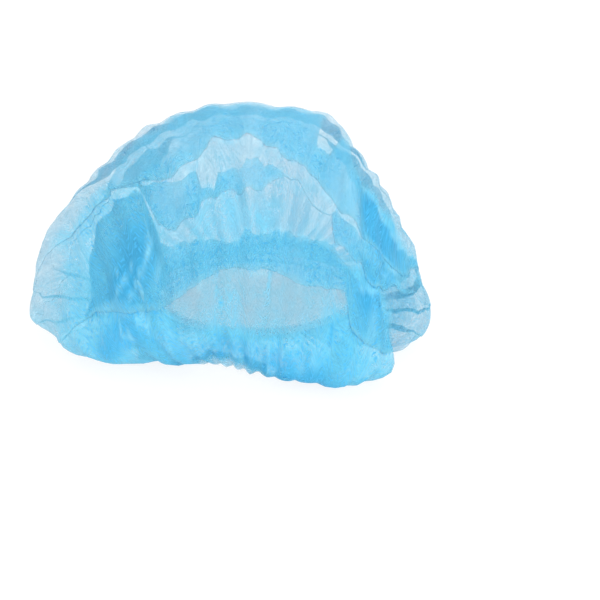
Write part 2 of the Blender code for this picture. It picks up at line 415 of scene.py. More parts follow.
PLEATS = (
    Pleat("brim", 1.0, (1.0, 1.0), rows_of(
        FoldLine,
        (0.0, 0.085, 0.135), (0.40, 0.080, 0.130), (0.50, 0.075, 0.125), (0.60, 0.080, 0.130),
        (1.0, 0.085, 0.135),
    )),
    Pleat("forehead", 1.0, (0.35, 0.8), rows_of(
        FoldLine,
        (0.0, 0.250, 0.270), (0.250, 0.290, 0.291), (0.330, 0.298, 0.300), (0.344, 0.292, 0.320),
        (0.356, 0.278, 0.372), (0.368, 0.264, 0.412), (0.384, 0.246, 0.422), (0.400, 0.237, 0.422),
        (0.414, 0.230, 0.412), (0.420, 0.231, 0.314), (0.428, 0.232, 0.301), (0.440, 0.238, 0.295),
        (0.457, 0.247, 0.294), (0.472, 0.260, 0.294), (0.490, 0.267, 0.297), (0.494, 0.267, 0.312),
        (0.508, 0.270, 0.312), (0.526, 0.274, 0.324), (0.535, 0.272, 0.332), (0.546, 0.272, 0.336),
        (0.558, 0.280, 0.342), (0.574, 0.292, 0.356), (0.583, 0.304, 0.360), (0.596, 0.315, 0.350),
        (0.603, 0.270, 0.345), (0.640, 0.262, 0.345), (0.660, 0.285, 0.330), (0.672, 0.300, 0.301),
        (0.740, 0.300, 0.301), (0.800, 0.250, 0.300), (1.0, 0.200, 0.270),
    )),
    Pleat("brow", 1.0, (1.1, 0.9), rows_of(
        FoldLine,
        (0.0, 0.330, 0.410), (0.250, 0.360, 0.361), (0.330, 0.380, 0.381), (0.345, 0.428, 0.429),
        (0.400, 0.434, 0.435), (0.414, 0.420, 0.424), (0.420, 0.336, 0.410), (0.430, 0.324, 0.400),
        (0.437, 0.322, 0.391), (0.443, 0.324, 0.396), (0.450, 0.326, 0.402), (0.455, 0.332, 0.406),
        (0.457, 0.352, 0.376), (0.469, 0.362, 0.374), (0.471, 0.368, 0.404), (0.490, 0.374, 0.406),
        (0.494, 0.376, 0.426), (0.507, 0.374, 0.428), (0.511, 0.387, 0.422), (0.518, 0.395, 0.422),
        (0.524, 0.404, 0.420), (0.528, 0.412, 0.415), (0.540, 0.410, 0.412), (0.554, 0.396, 0.398),
        (0.568, 0.390, 0.392), (0.576, 0.402, 0.404), (0.580, 0.376, 0.420), (0.600, 0.375, 0.425),
        (0.636, 0.378, 0.424), (0.668, 0.388, 0.398), (0.710, 0.388, 0.389), (1.0, 0.330, 0.410),
    )),
    Pleat("top", 1.0, (0.6, 1.0), rows_of(
        FoldLine,
        (0.0, 0.460, 0.540), (0.250, 0.460, 0.461), (0.380, 0.450, 0.452), (0.395, 0.444, 0.474),
        (0.410, 0.430, 0.500), (0.427, 0.409, 0.530), (0.436, 0.403, 0.545), (0.440, 0.399, 0.552),
        (0.446, 0.406, 0.560), (0.455, 0.416, 0.566), (0.461, 0.426, 0.566), (0.467, 0.436, 0.566),
        (0.469, 0.449, 0.566), (0.488, 0.450, 0.566), (0.492, 0.458, 0.566), (0.507, 0.460, 0.566),
        (0.510, 0.446, 0.566), (0.522, 0.446, 0.566), (0.525, 0.438, 0.566), (0.539, 0.438, 0.566),
        (0.546, 0.434, 0.566), (0.549, 0.427, 0.490), (0.559, 0.430, 0.492), (0.567, 0.430, 0.497),
        (0.570, 0.428, 0.566), (0.580, 0.427, 0.556), (0.600, 0.430, 0.520), (0.675, 0.436, 0.500),
        (0.700, 0.480, 0.496), (0.800, 0.470, 0.530), (1.0, 0.460, 0.540),
    )),
    Pleat("nape_high", -1.0, (1.0, 1.0), rows_of(
        FoldLine,
        (0.0, 0.585, 0.665), (0.200, 0.590, 0.620), (0.240, 0.590, 0.591), (0.330, 0.600, 0.601),
        (0.360, 0.615, 0.672), (0.500, 0.622, 0.682), (0.600, 0.622, 0.676), (0.630, 0.610, 0.612),
        (0.720, 0.600, 0.602), (0.800, 0.585, 0.665), (1.0, 0.585, 0.665),
    )),
    Pleat("nape", -1.0, (1.0, 1.0), rows_of(
        FoldLine,
        (0.0, 0.700, 0.770), (0.200, 0.700, 0.740), (0.240, 0.700, 0.701), (0.330, 0.700, 0.701),
        (0.370, 0.700, 0.760), (0.430, 0.700, 0.703), (0.570, 0.700, 0.703), (0.620, 0.700, 0.765),
        (1.0, 0.700, 0.770),
    )),
    Pleat("nape_low", -1.0, (1.0, 1.0), rows_of(
        FoldLine,
        (0.0, 0.870, 0.940), (0.200, 0.880, 0.920), (0.240, 0.900, 0.901), (0.330, 0.950, 0.953),
        (0.480, 0.955, 0.965), (0.600, 0.930, 0.955), (1.0, 0.870, 0.940),
    )),
)


class Bunch(NamedTuple):
    """A soft patch where the cloth is bunched together, or drawn thin, a few of which lighten shade as
    painted light: its middle as u and share of the way over, its half sizes the same ways, and the plies that
    it adds."""

    u: float
    share: float
    u_size: float
    share_size: float
    plies: float


BUNCHES = rows_of(
    Bunch,
    (0.396, 0.335, 0.024, 0.045, 1.7),
    (0.380, 0.290, 0.028, 0.028, 1.5),
    (0.356, 0.228, 0.028, 0.028, 2.6),
    (0.385, 0.200, 0.020, 0.030, 1.2),
    (0.330, 0.215, 0.050, 0.060, 0.7),
    (0.350, 0.395, 0.018, 0.050, 1.2),
    (0.340, 0.470, 0.016, 0.030, 0.5),
    (0.632, 0.465, 0.014, 0.040, 2.0),
    (0.618, 0.505, 0.011, 0.024, 1.4),
    (0.643, 0.425, 0.015, 0.028, 0.9),
    (0.664, 0.475, 0.016, 0.045, 0.9),
    (0.592, 0.262, 0.013, 0.030, 0.8),
    (0.622, 0.345, 0.020, 0.040, 2.0),
    (0.622, 0.240, 0.034, 0.050, 0.9),
    (0.595, 0.215, 0.035, 0.040, 0.8),
    (0.462, 0.192, 0.026, 0.018, 0.45),
    (0.478, 0.214, 0.010, 0.014, 0.45),
    (0.510, 0.240, 0.110, 0.046, 0.06),
    (0.495, 0.140, 0.140, 0.030, 2.40),
    (0.580, 0.172, 0.046, 0.032, 1.10),
    # The next three rows draw the cloth thin by the front hem: partly less crowding there, and partly painted
    # light that lifts the shade in the band under the front wall.
    (0.520, 0.085, 0.050, 0.030, -1.60),
    (0.462, 0.085, 0.050, 0.030, -1.20),
    (0.500, 0.050, 0.200, 0.060, -1.20),
    (0.474, 0.340, 0.026, 0.034, 0.75),
    (0.512, 0.352, 0.014, 0.026, 0.55),
    (0.406, 0.192, 0.018, 0.030, 1.6),
    (0.366, 0.252, 0.030, 0.020, 0.6),
    (0.558, 0.172, 0.032, 0.032, 0.9),
    (0.655, 0.505, 0.016, 0.040, 1.0),
    (0.495, 0.390, 0.030, 0.030, -0.45),
    (0.435, 0.490, 0.040, 0.045, -0.40),
    (0.414, 0.458, 0.026, 0.024, -0.55),
    (0.402, 0.424, 0.034, 0.020, 0.85),
    (0.372, 0.462, 0.020, 0.030, 1.3),
    (0.440, 0.365, 0.020, 0.030, -0.3),
    (0.490, 0.572, 0.120, 0.045, -0.45),
    (0.634, 0.512, 0.014, 0.028, 0.7),
    # This row draws the cloth thin on the steep right side, which faces away from the lights: painted light
    # that lightens its shade.
    (0.680, 0.335, 0.030, 0.060, -1.5),
    (0.320, 0.308, 0.030, 0.055, 1.2),
    (0.300, 0.400, 0.030, 0.060, -0.2),
)


class Crease(NamedTuple):
    """A sharp line pressed into the cloth, from one place to another: u and share of the way over at
    its ends, how far it stands proud (negative for a valley), its half width, how far the cloth is
    whitened along it, and the plies that are nipped together in it."""

    start: tuple[float, float]
    end: tuple[float, float]
    rise: float
    half_width: float
    whitening: float
    plies: float = 0.0


CREASES = rows_of(
    Crease,
    ((0.413, 0.338), (0.405, 0.300), 0.0016, 0.0030, 0.8),
    ((0.405, 0.300), (0.383, 0.272), 0.0016, 0.0030, 0.8),
    ((0.396, 0.318), (0.368, 0.282), 0.0014, 0.0028, 0.7),
    ((0.418, 0.300), (0.408, 0.262), 0.0012, 0.0025, 0.6),
    ((0.350, 0.295), (0.384, 0.252), 0.0022, 0.0045, 0.6),
    ((0.384, 0.252), (0.396, 0.205), 0.0022, 0.0045, 0.6),
    ((0.396, 0.205), (0.405, 0.165), 0.0022, 0.0045, 0.5),
    ((0.401, 0.252), (0.406, 0.222), -0.0020, 0.0024, 0.0, 2.5),
    ((0.362, 0.240), (0.378, 0.200), 0.0014, 0.0030, 0.7),
    ((0.405, 0.225), (0.412, 0.185), 0.0016, 0.0030, 0.3, -0.3),
    ((0.590, 0.540), (0.600, 0.420), 0.0022, 0.0060, 0.35),
    ((0.600, 0.420), (0.662, 0.400), 0.0024, 0.0055, 0.45),
    ((0.618, 0.400), (0.660, 0.410), -0.0020, 0.0030, 0.0, 2.0),
    ((0.586, 0.260), (0.584, 0.215), -0.0018, 0.0025, 0.0, 2.0),
    ((0.628, 0.340), (0.622, 0.255), 0.0020, 0.0045, 0.4),
    ((0.556, 0.165), (0.578, 0.195), 0.0026, 0.0050, 0.6),
    ((0.464, 0.244), (0.470, 0.200), -0.0016, 0.0022, 0.0, 1.4),
    ((0.478, 0.250), (0.480, 0.215), -0.0010, 0.0018, 0.0, 0.5),
    ((0.493, 0.262), (0.494, 0.210), -0.0008, 0.0020, 0.0, 0.4),
    ((0.520, 0.278), (0.516, 0.220), -0.0012, 0.0026, 0.0, 0.9),
    ((0.532, 0.268), (0.530, 0.225), -0.0008, 0.0018, 0.0, 0.5),
    ((0.545, 0.268), (0.545, 0.235), -0.0008, 0.0018, 0.0, 0.4),
    ((0.423, 0.200), (0.421, 0.160), 0.0010, 0.0020, 0.40),
    ((0.434, 0.190), (0.433, 0.150), 0.0010, 0.0018, 0.35),
    ((0.444, 0.186), (0.443, 0.140), 0.0010, 0.0020, 0.40),
    ((0.456, 0.184), (0.456, 0.142), 0.0010, 0.0016, 0.30),
    ((0.480, 0.182), (0.480, 0.135), 0.0010, 0.0020, 0.40),
    ((0.502, 0.180), (0.502, 0.140), 0.0010, 0.0016, 0.30),
    ((0.513, 0.184), (0.512, 0.138), 0.0010, 0.0020, 0.45),
    ((0.523, 0.188), (0.522, 0.145), 0.0010, 0.0016, 0.35),
    ((0.540, 0.198), (0.538, 0.155), 0.0010, 0.0020, 0.40),
)


@dataclass(frozen=True)
class Gathers:
    """The ripples that the elastic draws into the cloth. Their crests run away from the hems."""

    count: float = 38.0
    wander: float = 0.42
    hem_rise: float = 0.0009
    crown_rise: float = 0.0014
    fade: float = 0.030
    slow_drift: Bumps = Bumps(13.0, 0.09)
    quick_drift: Bumps = Bumps(29.0, 0.05)
    quick_share: float = 0.5
    swell: Bumps = Bumps(21.0, 0.07)
    mean_swell: float = 0.75
    swell_range: float = 0.35
    sharpness: float = 0.35
    seed: int = 11

    def wave(self, u: Array, arc: Array) -> Array:
        """The ripple's phase made into a wave, sharper at its crests than in its troughs.

        Args:
            u: Places from weld to weld.
            arc: Distances from the front hem along the cloth, in metres.

        Returns:
            Values from -1 to 1.
        """
        quick = self.quick_share * self.quick_drift.at(u, arc, self.seed + 1)
        drift = self.slow_drift.at(u, arc, self.seed) + quick
        phase = 2 * math.pi * (self.count * u + self.wander * drift)
        swell = self.mean_swell + self.swell_range * self.swell.at(u, arc, self.seed + 2)
        crests = 2 * np.abs(np.cos(phase / 2)) - 1
        return swell * ((1 - self.sharpness) * np.cos(phase) + self.sharpness * crests)

    def fade_at_ends(self, u: Array) -> Array:
        """How far the ripples are free of the welds, from 0 at a weld to 1."""
        return np.sqrt(np.clip(np.sin(math.pi * u), 0, 1))

    def rise(self, u: Array, arc: Array, hem_distance: Array) -> Array:
        """How far the ripples stand off the form.

        Args:
            u: Places from weld to weld.
            arc: Distances from the front hem along the cloth.
            hem_distance: Distances from the nearer hem.

        Returns:
            The rise in metres.
        """
        size = self.crown_rise + (self.hem_rise - self.crown_rise) * np.exp(-hem_distance / self.fade)
        return size * self.wave(u, arc) * self.fade_at_ends(u)


@dataclass(frozen=True)
class Crumple:
    """The irregular facets and dents of thin cloth that has been folded and shaken out."""

    cloth_length: float = 0.55
    dent_size: float = 0.055
    dent_rise: float = 0.0022
    facet_size: float = 0.030
    facet_rise: float = 0.0034
    small_size: float = 0.013
    small_rise: float = 0.0012
    facet_stretch: float = 1.5
    small_stretch: float = 1.3
    bend_size: float = 0.02
    bend_reach: float = 0.006
    seed: int = 5

    def rise(self, u: Array, arc: Array) -> Array:
        """How far the crumpled cloth stands off the form.

        Args:
            u: Places from weld to weld.
            arc: Distances from the front hem along the cloth.

        Returns:
            The rise in metres.
        """
        x, seed = u * self.cloth_length, self.seed
        bend = self.bend_reach * value_noise(x / self.bend_size, arc / self.bend_size, seed)
        dents = value_noise(x / self.dent_size, arc / self.dent_size, seed + 1)
        facet_length = self.facet_stretch * self.facet_size
        facets = facet_noise((x + bend) / self.facet_size, arc / facet_length, seed + 2)
        small_length = self.small_stretch * self.small_size
        small = facet_noise(x / self.small_size, (arc + bend) / small_length, seed + 3)
        return self.dent_rise * dents + self.facet_rise * facets + self.small_rise * small


# ---------------------------------------------------------------- mesh helpers


def grid_mesh(name: str, points: Array) -> Piece:
    """Make an open sheet of quads through a grid of points.

    Args:
        name: The piece's name.
        points: Columns, rows, and x, y and z.

    Returns:
        The sheet, linked to the scene, with its faces smooth.
    """
    columns, rows = points.shape[:2]
    index = np.arange(columns * rows).reshape(columns, rows)
    corners = [index[:-1, :-1], index[1:, :-1], index[1:, 1:], index[:-1, 1:]]
    quads = np.stack(corners, axis=-1).reshape(-1, 4)
    mesh = bpy.data.meshes.new(name)
    mesh.from_pydata(points.reshape(-1, 3).tolist(), [], quads.tolist())
    mesh.polygons.foreach_set("use_smooth", np.ones(len(quads), dtype=bool))
    sheet = bpy.data.objects.new(name, mesh)
    bpy.context.scene.collection.objects.link(sheet)
    return sheet


def add_uv(sheet: Piece, across: Array, along: Array) -> None:
    """Give a sheet a UV map in metres of flat cloth.

    Args:
        sheet: The sheet.
        across: One value for each vertex.
        along: The same, the other way.
    """
    layer = sheet.data.uv_layers.new(name="cloth")
    vertex = np.empty(len(sheet.data.loops), dtype=np.int32)
    sheet.data.loops.foreach_get("vertex_index", vertex)
    places = np.stack([across[vertex], along[vertex]], axis=1)
    layer.data.foreach_set("uv", places.ravel().astype(np.float32))


def add_values(sheet: Piece, name: str, values: Array) -> None:
    """Give each vertex of a sheet a named number that its finish reads."""
    attribute = sheet.data.attributes.new(name, "FLOAT", "POINT")
    attribute.data.foreach_set("value", values.ravel().astype(np.float32))


def only_select(piece: Piece) -> None:
    """Leave one piece selected and active.

    Args:
        piece: The piece.
    """
    bpy.ops.object.select_all(action="DESELECT")
    piece.select_set(True)
    bpy.context.view_layer.objects.active = piece


def apply_wall(sheet: Piece, wall: float) -> None:
    """Give an open sheet its thickness, half on each side, and close it.

    Args:
        sheet: The open sheet.
        wall: The thickness.
    """
    modifier = sheet.modifiers.new("Wall", "SOLIDIFY")
    modifier.thickness = wall
    modifier.offset = 0.0
    only_select(sheet)
    bpy.ops.object.modifier_apply(modifier=modifier.name)


# ---------------------------------------------------------------- finishes


BUMP_HEIGHT = 0.0002
NOISE_RANGE = (0.3, 0.7)


class NodeBench:
    """A material with a Principled shader, and short ways of adding nodes to it."""

    def __init__(self, name: str) -> None:
        """Start a material.

        Args:
            name: The material's name.
        """
        self.material = bpy.data.materials.new(name)
        self.material.use_nodes = True
        self.nodes = self.material.node_tree.nodes
        self.links = self.material.node_tree.links
        self.shader = self.nodes["Principled BSDF"]

    def add(self, kind: str, **settings: object) -> bpy.types.Node:
        """Add a node.

        Args:
            kind: The node's type.
            settings: Its properties.

        Returns:
            The node.
        """
        node = self.nodes.new(kind)
        for key, value in settings.items():
            setattr(node, key, value)
        return node

    def link(self, source: Socket, target: Socket) -> None:
        """Join two sockets."""
        self.links.new(source, target)

    def math(self, operation: str, first: object, second: object = 0.0) -> Socket:
        """Add a Math node.

        Args:
            operation: What it does.
            first: A socket or a number.
            second: The same.

        Returns:
            Its result.
        """
        node = self.add("ShaderNodeMath", operation=operation)
        for socket, value in zip(node.inputs, (first, second)):
            if isinstance(value, Socket):
                self.link(value, socket)
            else:
                socket.default_value = value
        return node.outputs[0]

    def noise(self, place: Socket, scale: float, detail: float = 2.0, solid: bool = False) -> Socket:
        """Add a Noise texture.

        Args:
            place: What it is laid out on.
            scale: Bumps a metre.
            detail: How much finer noise is in it.
            solid: Whether it varies in depth too, as it has to on Object coordinates.

        Returns:
            Its value, about 0.5 on average.
        """
        node = self.add("ShaderNodeTexNoise", noise_dimensions="3D" if solid else "2D")
        node.inputs["Scale"].default_value = scale
        node.inputs["Detail"].default_value = detail
        self.link(place, node.inputs["Vector"])
        return node.outputs["Fac"]

    def blend(self, share: object, first: object, second: object) -> Socket:
        """Mix two colours.

        Args:
            share: A socket or a number, 0 for the first colour.
            first: A socket or a colour.
            second: The same.

        Returns:
            The mixed colour.
        """
        node = self.add("ShaderNodeMix", data_type="RGBA")
        for index, value in ((0, share), (6, first), (7, second)):
            if isinstance(value, Socket):
                self.link(value, node.inputs[index])
            else:
                node.inputs[index].default_value = value
        return node.outputs[2]

    def spread(
        self, value: Socket, low: float, high: float, to_low: float = 0.0, to_high: float = 1.0
    ) -> Socket:
        """Map a range of values on to another, and hold it there.

        Args:
            value: What is mapped.
            low: Start of its range.
            high: End of its range.
            to_low: What low becomes.
            to_high: What high becomes.

        Returns:
            The mapped value.
        """
        node = self.add("ShaderNodeMapRange")
        for index, number in enumerate((low, high, to_low, to_high), start=1):
            node.inputs[index].default_value = number
        self.link(value, node.inputs[0])
        return node.outputs[0]

    def bump(self, height: Socket, strength: float) -> None:
        """Roughen the surface.

        Args:
            height: Its height, about 0 to 1.
            strength: How strongly that shows.
        """
        node = self.add("ShaderNodeBump")
        node.inputs["Strength"].default_value = strength
        node.inputs["Distance"].default_value = BUMP_HEIGHT
        self.link(height, node.inputs["Height"])
        self.link(node.outputs[0], self.shader.inputs["Normal"])

    def set(self, **values: float) -> None:
        """Set the shader's numbers, each named as its socket with _ for a space."""
        for name, value in values.items():
            self.shader.inputs[name.replace("_", " ")].default_value = value


@dataclass(frozen=True)
class SpunbondFinish:
    """Thin blue spunbond cloth: cloudy fibres, bond points, see-through by its number of plies, lighter along
    the named creases, and a painted highlight along the pleats' folds.
    """

    name: str
    deep: Colour = (0.135, 0.58, 0.79, 1.0)
    core: Colour = (0.037, 0.412, 0.705, 1.0)
    speck: Colour = (0.050, 0.40, 0.70, 1.0)
    thin: Colour = (0.142, 0.535, 0.72, 1.0)
    lilac: Colour = (0.250, 0.53, 0.68, 1.0)
    # Lighter blue for the named creases, and a painted highlight that offsets the dark shading at the pleats'
    # sharp folds.
    crease_white_and_painted_fold_highlight: Colour = (0.34, 0.80, 0.96, 1.0)
    face_opacity: float = 0.262
    cloud_size: float = 0.0075
    cloud_plies: float = 0.24
    fibre_size: float = 0.001875
    fibre_plies: float = 0.16
    bond_pitch: float = 0.0016
    bond_edge: tuple[float, float] = (0.18, 0.34)
    bond_plies: float = 0.25
    speck_size: float = 0.0021
    speck_edge: tuple[float, float] = (0.58, 0.66)
    speck_depth: tuple[float, float] = (0.4, 1.2)
    speck_plies: float = 1.6
    speck_share: float = 0.85
    wrinkle_size: float = 0.012
    wrinkle_plies: float = 0.15
    wrinkle_stretch: float = 0.4
    wrinkle_bends: float = 1.5
    wrinkle_edge: float = 0.07
    wrinkle_patch: float = 0.025
    wrinkle_patch_edge: tuple[float, float] = (0.42, 0.60)
    lilac_bumps: float = 38.0
    lilac_edge: tuple[float, float] = (0.42, 0.66)
    lilac_share: float = 0.8
    core_depth: tuple[float, float] = (1.3, 2.6)
    roughness: float = 0.72
    sheen: float = 0.05
    sheen_roughness: float = 0.5
    bump_strength: float = 0.25

    def make(self) -> bpy.types.Material:
        """Build the material.

        Returns:
            The material.
        """
        bench = NodeBench(self.name)
        cloth = bench.add("ShaderNodeUVMap", uv_map="cloth").outputs[0]
        plies, depth, crease = (
            bench.add("ShaderNodeAttribute", attribute_name=name).outputs["Fac"]
            for name in ("plies", "depth", "crease")
        )
        clouds = bench.noise(cloth, 1.0 / self.cloud_size, 2.0)
        fibres = bench.noise(cloth, 1.0 / self.fibre_size, 2.0)
        bonds = bench.add("ShaderNodeTexVoronoi", voronoi_dimensions="2D", feature="F1")
        bonds.inputs["Scale"].default_value = 1.0 / self.bond_pitch
        bench.link(cloth, bonds.inputs["Vector"])
        dots = bench.spread(bonds.outputs["Distance"], *self.bond_edge, 1.0, 0.0)
        specks = bench.spread(bench.noise(cloth, 1.0 / self.speck_size, 1.0), *self.speck_edge)
        specks = bench.math("MULTIPLY", specks, bench.spread(depth, *self.speck_depth))
        amount = bench.spread(clouds, *NOISE_RANGE, 1 - self.cloud_plies, 1 + self.cloud_plies)
        uneven = bench.spread(fibres, *NOISE_RANGE, -self.fibre_plies, self.fibre_plies)
        amount = bench.math("ADD", amount, uneven)
        wrinkles = self.wrinkles(bench, cloth)
        added_plies = (self.bond_plies, self.wrinkle_plies, self.speck_plies)
        for marks, added in zip((dots, wrinkles, specks), added_plies):
            amount = bench.math("ADD", amount, bench.math("MULTIPLY", marks, added))
        clear = bench.math("POWER", 1.0 - self.face_opacity, bench.math("MULTIPLY", amount, plies))
        bench.link(bench.math("SUBTRACT", 1.0, clear), bench.shader.inputs["Alpha"])
        place = bench.add("ShaderNodeTexCoord").outputs["Object"]
        tint = bench.noise(place, self.lilac_bumps, 1.0, solid=True)
        thin = bench.blend(bench.spread(tint, *self.lilac_edge, 0.0, self.lilac_share), self.thin, self.lilac)
        colour = bench.blend(bench.spread(depth, 0.0, 1.0), thin, self.deep)
        colour = bench.blend(bench.spread(depth, *self.core_depth), colour, self.core)
        # The "crease" value lightens the cloth along the named creases and lays a painted highlight along the
        # pleats' folds.
        colour = bench.blend(crease, colour, self.crease_white_and_painted_fold_highlight)
        colour = bench.blend(bench.math("MULTIPLY", specks, self.speck_share), colour, self.speck)
        bench.link(colour, bench.shader.inputs["Base Color"])
        bench.set(Roughness=self.roughness, Sheen_Weight=self.sheen, Sheen_Roughness=self.sheen_roughness)
        bench.bump(bench.math("SUBTRACT", fibres, dots), self.bump_strength)
        return bench.material

    def wrinkles(self, bench: NodeBench, cloth: Socket) -> Socket:
        """Add the thin lines of small wrinkles, longer along the strip's width than across it.

        Args:
            bench: The material that is built.
            cloth: Places on the flat cloth.

        Returns:
            1 on a wrinkle and 0 off it.
        """
        stretch = bench.add("ShaderNodeMapping")
        stretch.inputs["Scale"].default_value = (1.0, self.wrinkle_stretch, 1.0)
        bench.link(cloth, stretch.inputs["Vector"])
        stray = bench.add("ShaderNodeTexNoise", noise_dimensions="2D")
        stray.inputs["Scale"].default_value = self.wrinkle_bends / self.wrinkle_size
        bench.link(cloth, stray.inputs["Vector"])
        bent = bench.add("ShaderNodeVectorMath", operation="MULTIPLY_ADD")
        bent.inputs[1].default_value = (self.wrinkle_size,) * 3
        bench.link(stray.outputs["Color"], bent.inputs[0])
        bench.link(stretch.outputs[0], bent.inputs[2])
        lines = bench.add("ShaderNodeTexVoronoi", voronoi_dimensions="2D", feature="DISTANCE_TO_EDGE")
        lines.inputs["Scale"].default_value = 1.0 / self.wrinkle_size
        bench.link(bent.outputs[0], lines.inputs["Vector"])
        line = bench.spread(lines.outputs["Distance"], 0.0, self.wrinkle_edge, 1.0, 0.0)
        patches = bench.spread(bench.noise(cloth, 1.0 / self.wrinkle_patch, 1.0), *self.wrinkle_patch_edge)
        return bench.math("MULTIPLY", line, patches)


@dataclass(frozen=True)
class ElasticFinish:
    """Covered white elastic: fine threads wound round it, with painted shade in the grooves between the
    turns.
    """

    name: str = "White covered elastic"
    colour: Colour = (0.82, 0.86, 0.88, 1.0)
    painted_groove_shade: Colour = (0.58, 0.66, 0.72, 1.0)
    turn: float = 0.0009
    turn_scale: float = 0.05
    stray: float = 1.5
    roughness: float = 0.55
    bump_strength: float = 0.5

    def make(self) -> bpy.types.Material:
        """Build the material.

        Returns:
            The material.
        """
        bench = NodeBench(self.name)
        place = bench.add("ShaderNodeTexCoord").outputs["Object"]
        wave = bench.add("ShaderNodeTexWave", wave_type="RINGS", rings_direction="Z")
        wave.inputs["Scale"].default_value = self.turn_scale / self.turn
        wave.inputs["Distortion"].default_value = self.stray
        bench.link(place, wave.inputs["Vector"])
        # Painted shade: the colour darkens in the grooves that the same rings cut into the bump.
        colour = bench.blend(wave.outputs["Fac"], self.painted_groove_shade, self.colour)
        bench.link(colour, bench.shader.inputs["Base Color"])
        bench.bump(wave.outputs["Fac"], self.bump_strength)
        bench.set(Roughness=self.roughness)
        return bench.material


@dataclass(frozen=True)
class WeldFinish:
    """Heat-pressed cloth: a deeper, slightly glassy blue, with melted spots."""

    name: str = "Pressed blue weld"
    colour: Colour = (0.050, 0.36, 0.72, 1.0)
    melted: Colour = (0.030, 0.24, 0.58, 1.0)
    spot: float = 0.0014
    spot_edge: tuple[float, float] = (0.35, 0.65)
    roughness: float = 0.5
    melted_roughness: float = 0.3
    bump_strength: float = 0.35

    def make(self) -> bpy.types.Material:
        """Build the material.

        Returns:
            The material.
        """
        bench = NodeBench(self.name)
        place = bench.add("ShaderNodeTexCoord").outputs["Object"]
        mottle = bench.noise(place, 1.0 / self.spot, 3.0, solid=True)
        colour = bench.blend(bench.spread(mottle, *self.spot_edge), self.colour, self.melted)
        bench.link(colour, bench.shader.inputs["Base Color"])
        roughness = bench.spread(mottle, *self.spot_edge, self.roughness, self.melted_roughness)
        bench.link(roughness, bench.shader.inputs["Roughness"])
        bench.bump(mottle, self.bump_strength)
        return bench.material


# ---------------------------------------------------------------- the pieces


class Cloth(NamedTuple):
    """Every place on the crown's cloth, in a grid with a row for each column from weld to weld."""

    u: Array
    arc: Array
    length: Array
    folds: Folds


